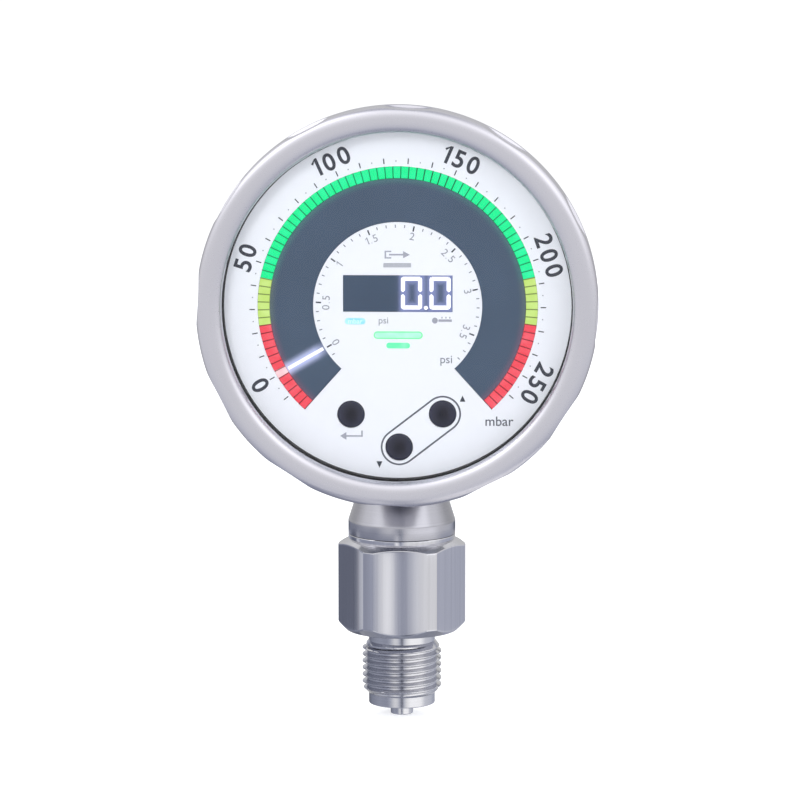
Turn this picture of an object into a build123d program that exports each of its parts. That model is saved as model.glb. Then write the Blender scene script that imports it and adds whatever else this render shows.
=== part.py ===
from build123d import *
import os

os.makedirs("parts", exist_ok=True)

# Pressure sensor with a round dial head on a threaded stem. Millimetres, +Z up, dial towards -Y.
# The stem axis is the Z axis; z = 0 is half way along the process thread.

# Process connection: G1/2 B thread with its spigot, wrench hexagon and base ring
thread_r = 20.955 / 2
thread_len = 14.2
thread_chamfer = 1.1
thread_chamfer_len = 1.0
relief_r = 8.8
relief_len = 3.0
collar_len = 2.8
collar_chamfer = 0.3
spigot_r = 3.0
spigot_len = 3.0
port_r = 1.75
hex_flats = 31.0
hex_corner_r = 16.85
hex_len = 24.3
hex_chamfer_slope = 0.577
foot_r = 14.75
neck_r = 14.15
base_ring_len = 1.4
base_ring_root = 0.4

z_thread = -thread_len / 2
z_collar = z_thread - collar_len
z_tip = z_collar - spigot_len
z_relief = thread_len / 2
z_hex = z_relief + relief_len
z_neck = z_hex + hex_len
z_split = z_neck + base_ring_len

# Measuring cell in its pocket inside the wrench section
running_gap = 0.05
pocket_r = 10.5
pocket_floor = 5.0
cell_gap = 0.3
cell_len = 5.0
cell_chamfer = 0.4
cell_seal_inset = 2.0
cell_seal_section_r = 0.74
cell_groove_half = 1.05
cell_groove_depth = 1.5
chamber_web = 0.95
chamber_depth = 2.0
cell_board_r = 7.6
cell_board_len = 1.0
cell_chip = (6.0, 5.0, 1.2)

cell_r = pocket_r - cell_gap
cell_seal_r = pocket_r - cell_seal_inset
chamber_r = cell_seal_r - cell_groove_half - chamber_web
z_pocket = z_hex + pocket_floor
z_cell_top = z_pocket + cell_len

# Swivel: the hollow shaft carries the head, which turns 345 degrees between stops
swivel_gap = 0.1
shaft_r = 7.5
shaft_bore_r = 4.8
shaft_socket_gap = 0.4
shaft_socket_len = 3.5
flange_drop = 0.3
swivel_seal_rise = 3.6
swivel_seal_section_r = 0.65
swivel_groove_depth = 1.3
swivel_groove_half = 0.8
neck_len = 3.5
cone_step = 0.15
cone_step_len = 0.3
cone_len = 9.9
cone_top_r = 11.0
cone_neck_len = 4.3
sleeve_stand = 0.5
stop_pin_r = 0.75
stop_pin_seat = 2.0
stop_pin_len = 3.6
stop_pin_fit = 0.02
stop_groove_gap = 0.2
stop_groove_len = 1.6
stop_web = 0.65
ring_len = 1.2
ring_play = 0.05
ring_width = 1.9
ring_groove_depth = 1.0
ring_gap_width = 2.4
shaft_end_len = 2.3

shaft_flange_r = pocket_r - running_gap
stop_path_r = (shaft_r + shaft_flange_r) / 2
z_flange_top = z_split - flange_drop
z_sleeve = z_split + swivel_gap
z_cone = z_sleeve + neck_len
z_cone_top = z_cone + cone_len

# Dial: lit segments around a dark pointer field; the rings, boards and case follow from the segments
arc_start = -47.7
arc_sweep = 276.0
segment_count = 83
segment_out_r = 35.65
segment_width = 3.0
segment_slot = 0.24
segment_slot_depth = 0.8
segment_inset = 0.1
field_width = 11.15
field_len = 2.0
field_inset = 0.2
fit_gap = 0.05
arc_gap = 0.1
pointer_angle = 210.0
pointer_width = 0.8
pointer_margin = 0.45
window_size = (27.8, 9.3)
window_at = (0.05, 3.25)
window_inset = 0.05
module_rim = 1.1
module_gap = 0.2
module_len = 5.0
status_size = (12.4, 1.75)
status_at = (0.15, -7.4)
output_size = (6.9, 1.0)
output_at = (-0.1, 10.5)
key_r = 3.45
key_gap = 0.1
key_floor = 4.0
key_rise = 0.6
key_round = 0.5
key_at = {"left": (-11.9, -27.8), "right": (11.5, -27.6), "lower": (0.4, -36.2)}
dial_len = 0.8
dial_front = 30.5
dial_stack = 6.5

segment_in_r = segment_out_r - segment_width
field_in_r = segment_in_r - field_width
y_board = dial_front - dial_stack

# Electronics: boards on posts from the case back
post_angles = (90, 210, 330)
board_len = 1.6
board_rim = 3.0
screw_clearance = 0.25
screw_head_r = 2.75
screw_head_len = 1.6
screw_gap = 0.6
screw_r = 1.45
screw_len = 7.0
spacer_r = 2.8
post_r = 2.9
main_board_y = 2.0
main_board_flat = 5.0
chip_size = 12.0
chip_len = 2.5
chips_at = ((-14, 12), (12, 14), (0, -12))

post_pitch_r = segment_out_r + screw_gap + screw_head_r
board_r = post_pitch_r + board_rim

# Case and front ring
case_wall = 1.4
case_back = 19.0
case_corner_r = 4.0
board_gap = 0.6
shoulder_width = 2.0
dial_gap = 0.4
thread_step = 1.2
ring_chamfer = 0.8
ring_tail = 4.0
lip_rise = 0.5
lip_chamfer = 0.4

shoulder_r = board_r + board_gap
front_bore_r = shoulder_r + shoulder_width
dial_r = front_bore_r - dial_gap
case_r = front_bore_r + case_wall
case_inner_r = case_r - case_wall
bezel_thread_r = case_r + thread_step
head_z = z_cone_top + cone_neck_len + case_r
z_sleeve_top = head_z - (case_inner_r ** 2 - cone_top_r ** 2) ** 0.5 + sleeve_stand
y_ring = y_board - ring_tail
y_lip = dial_front + lip_rise

# Glass between its gasket and the slip ring under the bezel's lip
gasket_len = 0.8
gasket_lap = 0.3
glass_len = 2.2
glass_edge = 0.2
glass_chamfer = 0.3
slip_len = 0.3
slip_lap = 0.5

glass_r = bezel_thread_r - glass_edge
seat_r = glass_r - glass_edge
y_glass = y_lip + gasket_len
y_slip = y_glass + glass_len
y_bezel_lip = y_slip + slip_len

# Bezel ring with twelve hand flutes
bezel_clearance = 0.4
bezel_wall = 3.5
bezel_lap = 0.1
bezel_crown = 2.5
bezel_crown_base = 0.6
bezel_skirt_len = 8.8
bezel_foot_chamfer = 0.4
bezel_rim_len = 2.4
flute_count = 12
flute_first = 27.0
flute_depth = 0.7
flute_r = 89.0
flute_len = 16.0

bezel_skirt_r = bezel_thread_r + bezel_clearance
bezel_r = bezel_skirt_r + bezel_wall
bezel_inner_r = front_bore_r - bezel_lap
bezel_back = y_bezel_lip - bezel_skirt_len

# Electrical connection: M12 plug at the back, beside it the vent
plug_at = (0.0, -16.0)
plug_r = 6.0
plug_len = 12.5
plug_wall = 1.35
plug_tip_chamfer = 0.6
plug_neck_step = 1.5
plug_flange_width = 2.0
plug_flange_len = 2.5
plug_flange_chamfer = 0.4
plug_inside_len = 7.0
plug_seal_section_r = 0.48
plug_groove_half = 0.55
plug_groove_depth = 1.0
plug_groove_offset = 0.9
plug_nut_width = 2.0
plug_nut_len = 2.5
insert_step = 0.55
insert_recess = 2.5
pin_pitch_r = 3.0
pin_r = 0.5
pin_fit = 0.03
pin_count = 4
pin_tail = 3.0
pin_reach = 8.0
key_rib = (0.9, 1.1, 6.5)
vent_at = (24.0, 14.0)
vent_hole_r = 2.55
vent_stem_r = 2.5
vent_stem_len = 1.5
vent_cap_r = 5.0
vent_cap_len = 2.4
vent_cap_round = 0.8

plug_bore_r = plug_r - plug_wall
insert_r = plug_bore_r + insert_step
plug_neck_r = plug_r + plug_neck_step
plug_flange_r = plug_neck_r + plug_flange_width
plug_groove_r = plug_neck_r + plug_groove_offset
y_plug = case_back + plug_flange_len
y_plug_end = y_plug + plug_len
y_plug_inner = case_back - plug_inside_len
insert_face = y_plug + insert_recess

head_axis = Axis((0, 0, head_z), (0, 1, 0))
radius_plane = Plane(origin=(0, 0, head_z), x_dir=(1, 0, 0), z_dir=(0, 0, -1))


def facing(depth):
    """Plane parallel to the dial, depth in front of the stem axis, with its normal to the front."""
    return Plane(origin=(0, -depth, head_z), x_dir=(1, 0, 0), z_dir=(0, -1, 0))


def turned_on_stem(corners, mode=Mode.ADD):
    """Solid of revolution about the stem axis from (radius, height) corners."""
    with BuildSketch(Plane.XZ) as profile:
        with BuildLine():
            Polyline(*corners, close=True)
        make_face()
    revolve(profile.sketch, axis=Axis.Z, mode=mode)


def turned_on_head(corners, mode=Mode.ADD):
    """Solid of revolution about the head axis from (radius, depth towards the front) corners."""
    with BuildSketch(radius_plane) as profile:
        with BuildLine():
            Polyline(*corners, close=True)
        make_face()
    revolve(profile.sketch, axis=head_axis, mode=mode)


def disc(depth, length, outer_r, inner_r=0.0, mode=Mode.ADD):
    """Disc or ring on the head axis, its back face at the given depth."""
    with BuildSketch(facing(depth)) as profile:
        Circle(outer_r)
        if inner_r:
            Circle(inner_r, mode=Mode.SUBTRACT)
    extrude(profile.sketch, amount=length, mode=mode)


def band(inner_r, outer_r, start=arc_start, sweep=arc_sweep):
    """Sector of a ring, as a face in the current sketch."""
    with BuildLine() as outline:
        outer = CenterArc((0, 0), outer_r, start, sweep)
        inner = CenterArc((0, 0), inner_r, start, sweep)
        Line(outer @ 0, inner @ 0)
        Line(outer @ 1, inner @ 1)
    make_face(outline.line)


def o_ring(radius, section_r, z):
    """Seal ring about the stem axis."""
    with BuildSketch(Plane.XZ) as section:
        with Locations((radius, z)):
            Circle(section_r)
    revolve(section.sketch, axis=Axis.Z)


def groove(radius, half, low, high):
    """Cuts a square groove about the stem axis, half its width each side of a radius."""
    inner_r, outer_r = radius - half, radius + half
    turned_on_stem([(inner_r, low), (outer_r, low), (outer_r, high), (inner_r, high)], mode=Mode.SUBTRACT)


def save(piece, name):
    piece.part.label = name
    export_step(piece.part, f"parts/{name}.step")


# Process connection: spigot, collar, thread, relief, wrench section and base ring turned from one bar
chamfer_drop = (hex_corner_r - neck_r) * hex_chamfer_slope
with BuildPart() as process_connection:
    turned_on_stem([
        (0, z_tip), (spigot_r, z_tip), (spigot_r, z_collar), (relief_r - collar_chamfer, z_collar),
        (relief_r, z_collar + collar_chamfer), (relief_r, z_thread), (thread_r - thread_chamfer, z_thread),
        (thread_r, z_thread + thread_chamfer_len), (thread_r, z_relief - thread_chamfer_len),
        (thread_r - thread_chamfer, z_relief), (relief_r, z_relief), (relief_r, z_pocket - chamber_depth),
        (0, z_pocket - chamber_depth)])
    with BuildPart(mode=Mode.PRIVATE) as wrench:
        with BuildSketch(Plane.XY.offset(z_hex)):
            RegularPolygon(hex_flats / 2, 6, major_radius=False)
        extrude(amount=hex_len)
        turned_on_stem([
            (0, z_hex), (foot_r, z_hex), (hex_corner_r, z_hex + hex_corner_r - foot_r),
            (hex_corner_r, z_neck - chamfer_drop), (neck_r, z_neck), (0, z_neck)], mode=Mode.INTERSECT)
    add(wrench.part)
    turned_on_stem([
        (0, z_cell_top), (neck_r - base_ring_root, z_cell_top), (neck_r - base_ring_root, z_neck),
        (neck_r, z_neck), (neck_r, z_split), (0, z_split)])
    # pressure port, chamber, seal groove and cell pocket
    z_chamber = z_pocket - chamber_depth
    turned_on_stem([
        (0, z_tip), (port_r, z_tip), (port_r, z_chamber), (chamber_r, z_chamber), (chamber_r, z_pocket),
        (pocket_r, z_pocket), (pocket_r, z_split), (0, z_split)], mode=Mode.SUBTRACT)
    groove(cell_seal_r, cell_groove_half, z_pocket - cell_groove_depth, z_pocket)
save(process_connection, "process_connection")

# Cell seal: rubber ring between the pocket floor and the measuring cell
with BuildPart() as cell_seal:
    o_ring(cell_seal_r, cell_seal_section_r, z_pocket - cell_groove_depth / 2)
save(cell_seal, "cell_seal")

# Measuring cell: ceramic disc
with BuildPart() as measuring_cell:
    with BuildSketch(Plane.XY.offset(z_pocket)):
        Circle(cell_r)
    extrude(amount=cell_len)
    chamfer(measuring_cell.edges().group_by(Axis.Z)[-1], cell_chamfer)
save(measuring_cell, "measuring_cell")

# Cell circuit: round board on the back of the cell
with BuildPart() as cell_board:
    with BuildSketch(Plane.XY.offset(z_cell_top)):
        Circle(cell_board_r)
    extrude(amount=cell_board_len)
    with BuildSketch(Plane.XY.offset(z_cell_top + cell_board_len)):
        Rectangle(cell_chip[0], cell_chip[1])
    extrude(amount=cell_chip[2])
save(cell_board, "cell_board")

# Swivel shaft: screwed into the pocket, it clamps the cell and carries the head
z_shaft_top = z_sleeve_top + shaft_end_len
z_seal = z_sleeve + swivel_seal_rise
z_ring = z_sleeve_top + 3 * ring_play
shaft_socket_r = cell_board_r + shaft_socket_gap
z_socket = z_cell_top + shaft_socket_len
seal_root_r = shaft_r - swivel_groove_depth
ring_root_r = shaft_r - ring_groove_depth
with BuildPart() as swivel_shaft:
    turned_on_stem([
        (shaft_socket_r, z_cell_top), (shaft_flange_r, z_cell_top), (shaft_flange_r, z_flange_top),
        (shaft_r, z_flange_top), (shaft_r, z_shaft_top), (shaft_bore_r, z_shaft_top),
        (shaft_bore_r, z_socket), (shaft_socket_r, z_socket)])
    # grooves for the swivel seal and the retaining ring
    groove(shaft_r, swivel_groove_depth, z_seal - swivel_groove_half, z_seal + swivel_groove_half)
    groove(shaft_r, ring_groove_depth, z_ring - ring_play, z_ring + ring_len + ring_play)
    with BuildSketch(Plane.XY.offset(z_flange_top)):
        with Locations((0, -stop_path_r)):
            Circle(stop_pin_r + stop_pin_fit)
    extrude(amount=-stop_pin_seat, mode=Mode.SUBTRACT)
save(swivel_shaft, "swivel_shaft")

# Swivel seal: rubber ring in the shaft's lower groove, running in the neck
with BuildPart() as swivel_seal:
    o_ring(seal_root_r + 0.01 + swivel_seal_section_r, swivel_seal_section_r, z_seal)
save(swivel_seal, "swivel_seal")

# Stop pin: it runs in the neck's groove and limits the turn
with BuildPart() as stop_pin:
    with BuildSketch(Plane.XY.offset(z_flange_top - stop_pin_seat)):
        with Locations((0, -stop_path_r)):
            Circle(stop_pin_r)
    extrude(amount=stop_pin_len)
save(stop_pin, "stop_pin")

# Retaining ring: spring ring in the shaft's upper groove, above the neck
with BuildPart() as retaining_ring:
    with BuildSketch(Plane.XY.offset(z_ring)):
        Circle(shaft_r + ring_width)
        Circle(ring_root_r + 2 * ring_play, mode=Mode.SUBTRACT)
        with Locations((0, shaft_r)):
            Rectangle(ring_gap_width, 2 * ring_width + 2 * ring_groove_depth, mode=Mode.SUBTRACT)
    extrude(amount=ring_len)
save(retaining_ring, "retaining_ring")

# Neck: turned sleeve that swivels on the shaft, a cone under the case, welded into the case
with BuildPart() as neck_sleeve:
    turned_on_stem([
        (shaft_r + running_gap, z_sleeve), (neck_r, z_sleeve), (neck_r, z_cone),
        (neck_r - cone_step, z_cone + cone_step_len),
        (cone_top_r, z_cone_top), (cone_top_r, z_sleeve_top), (shaft_r + running_gap, z_sleeve_top)])
    # stop groove, open all round but for a web at the back
    with BuildSketch(Plane.XY.offset(z_sleeve)):
        Circle(stop_path_r + stop_pin_r + stop_groove_gap)
        Circle(stop_path_r - stop_pin_r - stop_groove_gap, mode=Mode.SUBTRACT)
        with Locations((0, stop_path_r)):
            Rectangle(stop_web, 4 * stop_pin_r, mode=Mode.SUBTRACT)
    extrude(amount=stop_groove_len, mode=Mode.SUBTRACT)
save(neck_sleeve, "neck_sleeve")

# Case: deep-drawn steel can, with holes for the neck, the plug and the vent
y_corner = -case_back + case_corner_r
y_floor = -case_back + case_wall
corner_at = case_r - case_corner_r
with BuildPart() as housing_can:
    with BuildSketch(radius_plane):
        with BuildLine():
            Line((0, -case_back), (corner_at, -case_back))
            RadiusArc((corner_at, -case_back), (case_r, y_corner), -case_corner_r)
            Polyline((case_r, y_corner), (case_r, y_ring), (case_inner_r, y_ring), (case_inner_r, y_corner))
            RadiusArc((case_inner_r, y_corner), (corner_at, y_floor), case_corner_r - case_wall)
            Polyline((corner_at, y_floor), (0, y_floor), (0, -case_back))
        make_face()
    revolve(axis=head_axis)
    with BuildSketch(Plane.XY.offset(z_cone_top)):
        Circle(cone_top_r + fit_gap)
    extrude(amount=z_sleeve_top - z_cone_top + case_wall, mode=Mode.SUBTRACT)
    with BuildSketch(facing(-case_back)):
        with Locations(plug_at):
            Circle(plug_neck_r + running_gap)
        with Locations(vent_at):
            Circle(vent_hole_r)
    extrude(amount=case_wall, mode=Mode.SUBTRACT)
save(housing_can, "housing_can")

# Front ring: machined ring welded on the can; it carries the bezel thread and the dial's shoulder
with BuildPart() as housing_ring:
    turned_on_head([
        (shoulder_r, y_ring), (bezel_thread_r - ring_chamfer, y_ring),
        (bezel_thread_r, y_ring + ring_chamfer), (bezel_thread_r, y_lip - lip_chamfer),
        (bezel_thread_r - lip_chamfer, y_lip), (front_bore_r, y_lip), (front_bore_r, y_board),
        (shoulder_r, y_board)])
save(housing_ring, "housing_ring")

# Glass gasket: black rubber ring on the front ring's lip
with BuildPart() as glass_gasket:
    disc(y_lip, gasket_len, seat_r, front_bore_r - gasket_lap)
save(glass_gasket, "glass_gasket")

# Circuit board behind the dial, with holes for its screws
with BuildPart() as led_board:
    disc(y_board - board_len, board_len, board_r)
    with BuildSketch(facing(y_board - board_len)):
        with PolarLocations(post_pitch_r, 3, start_angle=post_angles[0]):
            Circle(screw_r + screw_clearance)
    extrude(amount=board_len, mode=Mode.SUBTRACT)
save(led_board, "led_board")

# Dial carrier: moulded black body that holds the light guides and windows in front of the board
dial_back = dial_front - dial_len
field_back = dial_front - field_inset - field_len
key_seat = y_board + key_floor
with BuildPart() as dial_carrier:
    disc(y_board, dial_back - y_board, dial_r)
    with BuildSketch(facing(field_back)):
        band(field_in_r, segment_in_r)
    extrude(amount=dial_back - field_back, mode=Mode.SUBTRACT)
    with BuildSketch(facing(y_board)):
        band(segment_in_r - fit_gap, segment_out_r + fit_gap, arc_start - arc_gap, arc_sweep + 2 * arc_gap)
        with Locations(window_at):
            Rectangle(window_size[0] + 2 * module_rim + 2 * module_gap,
                      window_size[1] + 2 * module_rim + 2 * module_gap)
        with Locations(status_at):
            SlotOverall(status_size[0] + 2 * fit_gap, status_size[1] + 2 * fit_gap)
        with Locations(output_at):
            Rectangle(output_size[0] + 2 * fit_gap, output_size[1] + 2 * fit_gap)
    extrude(amount=dial_back - y_board, mode=Mode.SUBTRACT)
    with BuildSketch(facing(key_seat)):
        with Locations(*key_at.values()):
            Circle(key_r + key_gap)
    extrude(amount=dial_back - key_seat, mode=Mode.SUBTRACT)
    with BuildSketch(facing(y_board)):
        with PolarLocations(post_pitch_r, 3, start_angle=post_angles[0]):
            Circle(screw_head_r + screw_clearance)
    extrude(amount=screw_head_len + screw_gap, mode=Mode.SUBTRACT)
save(dial_carrier, "dial_carrier")

# Dial plate: white printed plate with the pointer window, the display opening and the key holes
with BuildPart() as dial_plate:
    disc(dial_back, dial_len, dial_r)
    with BuildSketch(facing(dial_back)):
        band(field_in_r, segment_out_r + fit_gap, arc_start - arc_gap, arc_sweep + 2 * arc_gap)
        with Locations(window_at):
            Rectangle(window_size[0] + 2 * fit_gap, window_size[1] + 2 * fit_gap)
        with Locations(status_at):
            SlotOverall(status_size[0] + 2 * fit_gap, status_size[1] + 2 * fit_gap)
        with Locations(output_at):
            Rectangle(output_size[0] + 2 * fit_gap, output_size[1] + 2 * fit_gap)
        with Locations(*key_at.values()):
            Circle(key_r + key_gap)
    extrude(amount=dial_len, mode=Mode.SUBTRACT)
save(dial_plate, "dial_plate")

# Segment ring: light guide with one slot between neighbouring segments
segment_front = dial_front - segment_inset
segment_pitch = arc_sweep / segment_count
with BuildPart() as segment_ring:
    with BuildSketch(facing(y_board)):
        band(segment_in_r, segment_out_r)
    extrude(amount=segment_front - y_board)
    with BuildSketch(facing(segment_front)):
        with PolarLocations((segment_in_r + segment_out_r) / 2, segment_count - 1,
                            start_angle=arc_start + segment_pitch,
                            angular_range=segment_pitch * (segment_count - 2), endpoint=True):
            Rectangle(2 * segment_width, segment_slot)
    extrude(amount=-segment_slot_depth, mode=Mode.SUBTRACT)
save(segment_ring, "segment_ring")

# Pointer field: smoked plate inside the segment ring, slotted for the lit pointer
with BuildPart() as pointer_field:
    with BuildSketch(facing(field_back)):
        band(field_in_r + fit_gap, segment_in_r - 2 * fit_gap, arc_start + arc_gap, arc_sweep - 2 * arc_gap)
        with PolarLocations((field_in_r + segment_in_r) / 2, 1, start_angle=pointer_angle):
            Rectangle(field_width - 2 * pointer_margin + 2 * fit_gap, pointer_width + 2 * fit_gap,
                      mode=Mode.SUBTRACT)
    extrude(amount=field_len)
save(pointer_field, "pointer_field")

# Pointer: lit bar, shown at zero
with BuildPart() as pointer_bar:
    with BuildSketch(facing(field_back)):
        with PolarLocations((field_in_r + segment_in_r) / 2, 1, start_angle=pointer_angle):
            Rectangle(field_width - 2 * pointer_margin, pointer_width)
    extrude(amount=field_len + fit_gap)
save(pointer_bar, "pointer_bar")

# Digit module on the board and its smoked window
digit_front = y_board + module_len
with BuildPart() as digit_module:
    with BuildSketch(facing(y_board)):
        with Locations(window_at):
            Rectangle(window_size[0] + 2 * module_rim, window_size[1] + 2 * module_rim)
    extrude(amount=digit_front - y_board)
save(digit_module, "digit_module")

with BuildPart() as display_window:
    with BuildSketch(facing(digit_front)):
        with Locations(window_at):
            Rectangle(*window_size)
    extrude(amount=dial_front - window_inset - digit_front)
save(display_window, "display_window")

# Status and output lenses: light pipes from the board to the dial
with BuildPart() as status_lens:
    with BuildSketch(facing(y_board)):
        with Locations(status_at):
            SlotOverall(*status_size)
    extrude(amount=dial_front - y_board)
save(status_lens, "status_lens")

with BuildPart() as output_lens:
    with BuildSketch(facing(y_board)):
        with Locations(output_at):
            Rectangle(*output_size)
    extrude(amount=dial_front - y_board)
save(output_lens, "output_lens")

# Touch keys: glossy black lenses with a low dome, sensed through the glass
for key_name, (key_x, key_z) in key_at.items():
    with BuildPart() as touch_key:
        with BuildSketch(facing(key_seat)):
            with Locations((key_x, key_z)):
                Circle(key_r)
        extrude(amount=dial_front + key_rise - key_seat)
        fillet(touch_key.edges().group_by(Axis.Y)[0], key_round)
    save(touch_key, f"key_{key_name}")

# Main board on posts from the case back; spacers carry the dial's board
with BuildPart() as main_board:
    with BuildSketch(facing(main_board_y)):
        Circle(board_r)
        with Locations((0, -board_r)):
            Rectangle(2 * board_r, 2 * main_board_flat, mode=Mode.SUBTRACT)
    extrude(amount=board_len)
    with BuildSketch(facing(main_board_y + board_len)):
        with Locations(*chips_at):
            Rectangle(chip_size, chip_size)
    extrude(amount=chip_len)
save(main_board, "main_board")

with BuildPart() as board_posts:
    with BuildSketch(facing(-case_back + case_wall)):
        with PolarLocations(post_pitch_r, 3, start_angle=post_angles[0]):
            Circle(post_r)
    extrude(amount=main_board_y + case_back - case_wall)
save(board_posts, "board_posts")

with BuildPart() as board_spacers:
    with BuildSketch(facing(main_board_y + board_len)):
        with PolarLocations(post_pitch_r, 3, start_angle=post_angles[0]):
            Circle(spacer_r)
    extrude(amount=y_board - board_len * 2 - main_board_y)
    with BuildSketch(facing(y_board)):
        with PolarLocations(post_pitch_r, 3, start_angle=post_angles[0]):
            Circle(screw_r + fit_gap)
    extrude(amount=-screw_len - screw_clearance, mode=Mode.SUBTRACT)
save(board_spacers, "board_spacers")

with BuildPart() as board_screws:
    with BuildSketch(facing(y_board)):
        with PolarLocations(post_pitch_r, 3, start_angle=post_angles[0]):
            Circle(screw_head_r)
    extrude(amount=screw_head_len)
    with BuildSketch(facing(y_board)):
        with PolarLocations(post_pitch_r, 3, start_angle=post_angles[0]):
            Circle(screw_r)
    extrude(amount=-screw_len)
save(board_screws, "board_screws")

# Plug sleeve: M12 thread outside, clamped in the case back by a nut
plug_plane = Plane(origin=(plug_at[0], 0, head_z + plug_at[1]), x_dir=(1, 0, 0), z_dir=(0, 0, 1))
plug_axis = Axis((plug_at[0], 0, head_z + plug_at[1]), (0, 1, 0))


def turned_on_plug(corners, mode=Mode.ADD):
    """Solid of revolution about the plug axis from (radius, distance to the back) corners."""
    with BuildSketch(plug_plane) as profile:
        with BuildLine():
            Polyline(*corners, close=True)
        make_face()
    revolve(profile.sketch, axis=plug_axis, mode=mode)


with BuildPart() as plug_sleeve:
    turned_on_plug([
        (insert_r + running_gap, y_plug_inner), (plug_neck_r, y_plug_inner), (plug_neck_r, case_back),
        (plug_flange_r, case_back), (plug_flange_r, y_plug - plug_flange_chamfer),
        (plug_flange_r - plug_flange_chamfer, y_plug), (plug_r, y_plug),
        (plug_r, y_plug_end - plug_tip_chamfer), (plug_r - plug_tip_chamfer, y_plug_end),
        (plug_bore_r, y_plug_end), (plug_bore_r, insert_face), (insert_r + running_gap, insert_face)])
    turned_on_plug([
        (plug_groove_r - plug_groove_half, case_back), (plug_groove_r + plug_groove_half, case_back),
        (plug_groove_r + plug_groove_half, case_back + plug_groove_depth),
        (plug_groove_r - plug_groove_half, case_back + plug_groove_depth)], mode=Mode.SUBTRACT)
save(plug_sleeve, "plug_sleeve")

with BuildPart() as plug_seal:
    with BuildSketch(plug_plane):
        with Locations((plug_groove_r, case_back + plug_groove_depth / 2)):
            Circle(plug_seal_section_r)
    revolve(axis=plug_axis)
save(plug_seal, "plug_seal")

with BuildPart() as plug_nut:
    with BuildSketch(facing(-case_back + case_wall)):
        with Locations(plug_at):
            RegularPolygon(plug_neck_r + plug_nut_width, 6, major_radius=False)
            Circle(plug_neck_r + running_gap, mode=Mode.SUBTRACT)
    extrude(amount=plug_nut_len)
save(plug_nut, "plug_nut")

# Plug insert: black moulded block with a coding key, and its pins
with BuildPart() as plug_insert:
    turned_on_plug([(0, y_plug_inner), (insert_r, y_plug_inner), (insert_r, insert_face), (0, insert_face)])
    with BuildSketch(facing(-insert_face)):
        with Locations(plug_at):
            with PolarLocations(pin_pitch_r, pin_count):
                Circle(pin_r + pin_fit)
    extrude(amount=insert_face - y_plug_inner, mode=Mode.SUBTRACT)
    with BuildSketch(facing(-insert_face)):
        with Locations(plug_at):
            with PolarLocations(plug_bore_r - key_rib[0] / 2 - 2 * fit_gap, 1, start_angle=45):
                Rectangle(key_rib[0], key_rib[1])
    extrude(amount=-key_rib[2])
save(plug_insert, "plug_insert")

with BuildPart() as contact_pins:
    with BuildSketch(facing(-y_plug_inner + pin_tail)):
        with Locations(plug_at):
            with PolarLocations(pin_pitch_r, pin_count):
                Circle(pin_r)
    extrude(amount=-(insert_face - y_plug_inner + pin_tail + pin_reach))
save(contact_pins, "contact_pins")

# Vent cap: plastic cap over the breathing hole in the case back
with BuildPart() as vent_cap:
    with BuildSketch(facing(-case_back)):
        with Locations(vent_at):
            Circle(vent_cap_r)
    extrude(amount=-vent_cap_len)
    fillet(vent_cap.edges().group_by(Axis.Y)[-1], vent_cap_round)
    with BuildSketch(facing(-case_back)):
        with Locations(vent_at):
            Circle(vent_stem_r)
    extrude(amount=case_wall + vent_stem_len)
save(vent_cap, "vent_cap")

# Glass
with BuildPart() as glass:
    disc(y_glass, glass_len, glass_r)
    chamfer(glass.edges(), glass_chamfer)
save(glass, "glass")

# Slip ring: thin low-friction ring between the glass and the turning bezel
with BuildPart() as slip_ring:
    disc(y_slip, slip_len, seat_r, bezel_inner_r + slip_lap)
save(slip_ring, "slip_ring")

# Bezel: turned steel ring, rounded at the front, with twelve shallow flutes ahead of a plain rim
crown_mid_r = (bezel_r + bezel_inner_r) / 2
crown_half = (bezel_r - bezel_inner_r) / 2
y_crown = y_bezel_lip + bezel_crown_base
with BuildPart() as bezel_ring:
    with BuildSketch(radius_plane):
        with BuildLine():
            Line((bezel_inner_r, y_bezel_lip), (bezel_inner_r, y_crown))
            EllipticalCenterArc((crown_mid_r, y_crown), crown_half, bezel_crown, arc_size=180)
            Polyline((bezel_r, y_crown), (bezel_r, bezel_back + bezel_foot_chamfer),
                     (bezel_r - bezel_foot_chamfer, bezel_back), (bezel_skirt_r, bezel_back),
                     (bezel_skirt_r, y_bezel_lip), (bezel_inner_r, y_bezel_lip))
        make_face()
    revolve(axis=head_axis)
    with BuildSketch(facing(bezel_back + bezel_rim_len)):
        with PolarLocations(bezel_r - flute_depth + flute_r, flute_count, start_angle=flute_first):
            Circle(flute_r)
    extrude(amount=flute_len, mode=Mode.SUBTRACT)
save(bezel_ring, "bezel_ring")
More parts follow.
